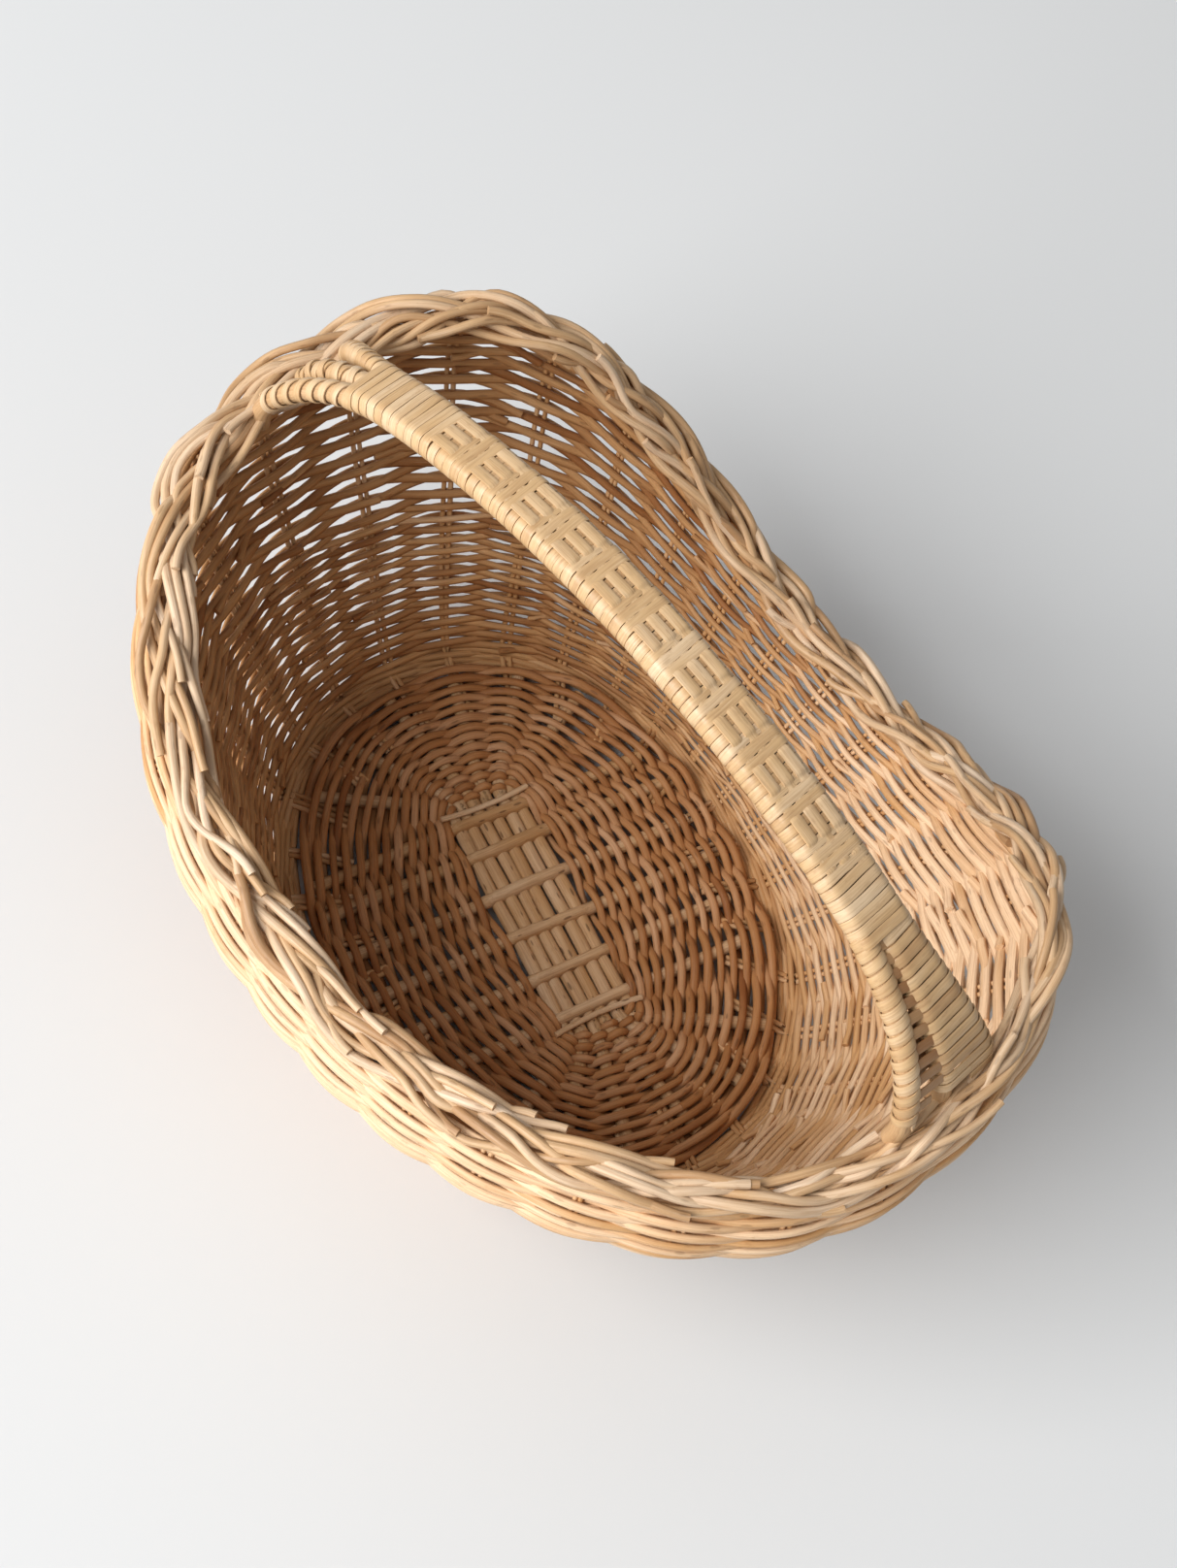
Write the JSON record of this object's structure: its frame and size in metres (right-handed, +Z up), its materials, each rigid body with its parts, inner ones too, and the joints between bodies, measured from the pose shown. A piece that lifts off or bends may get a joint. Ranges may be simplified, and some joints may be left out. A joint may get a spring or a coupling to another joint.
{
  "type": "woven market basket",
  "caption": "Oval open market basket of woven willow with a flaring openwork wall, a saddle-shaped rolled border and a fixed bow handle bound in flat cane.",
  "frame": {"origin": "on the ground under the middle of the basket's overall box", "axes": "+X along the handle and the basket's long side, +Y towards the side whose rim dips lower, +Z up"},
  "size_m": [0.4551, 0.346, 0.2886],
  "materials": {
    "stick_willow": "peeled buff willow sticks, satin, with grain and knots",
    "base_willow": "buff willow rods, satin, darker in the gaps",
    "wall_willow": "buff willow rods, satin, brown to cream",
    "border_willow": "buff willow rods, soft sheen",
    "handle_cane": "flat pale cane, soft sheen"
  },
  "bodies": {
    "root": {"base_cross_stick_1": "stick_willow", "base_cross_stick_2": "stick_willow", "base_cross_stick_3": "stick_willow", "base_cross_stick_4": "stick_willow", "base_cross_stick_5": "stick_willow", "base_cross_stick_6": "stick_willow", "base_long_stick_1": "stick_willow", "base_long_stick_2": "stick_willow", "base_long_stick_3": "stick_willow", "base_long_stick_4": "stick_willow", "base_long_stick_5": "stick_willow", "base_long_stick_6": "stick_willow", "base_end_rod_1": "stick_willow", "base_end_rod_2": "stick_willow", "base_weave": "base_willow", "foot_wale": "wall_willow", "wall_stake_1": "wall_willow", "wall_stake_2": "wall_willow", "wall_stake_3": "wall_willow", "wall_stake_4": "wall_willow", "wall_stake_5": "wall_willow", "wall_stake_6": "wall_willow", "wall_stake_7": "wall_willow", "wall_stake_8": "wall_willow", "wall_stake_9": "wall_willow", "wall_stake_10": "wall_willow", "wall_stake_11": "wall_willow", "wall_stake_12": "wall_willow", "wall_stake_13": "wall_willow", "wall_stake_14": "wall_willow", "wall_stake_15": "wall_willow", "wall_stake_16": "wall_willow", "wall_stake_17": "wall_willow", "wall_stake_18": "wall_willow", "wall_stake_19": "wall_willow", "wall_stake_20": "wall_willow", "wall_stake_21": "wall_willow", "wall_stake_22": "wall_willow", "wall_stake_23": "wall_willow", "wall_stake_24": "wall_willow", "wall_weave_1": "wall_willow", "wall_weave_2": "wall_willow", "wall_weave_3": "wall_willow", "wall_weave_4": "wall_willow", "wall_weave_5": "wall_willow", "wall_weave_6": "wall_willow", "rim_border": "border_willow", "handle_rod_1": "handle_cane", "handle_rod_2": "handle_cane", "handle_rod_3": "handle_cane", "handle_binding": "handle_cane", "handle_lead_strip_1": "handle_cane", "handle_lead_strip_2": "handle_cane", "handle_lead_strip_3": "handle_cane", "handle_leg_wrap_near_1": "handle_cane", "handle_leg_wrap_near_2": "handle_cane", "handle_leg_wrap_near_3": "handle_cane", "handle_leg_wrap_far_1": "handle_cane", "handle_leg_wrap_far_2": "handle_cane", "handle_leg_wrap_far_3": "handle_cane"}
  },
  "joints": []
}
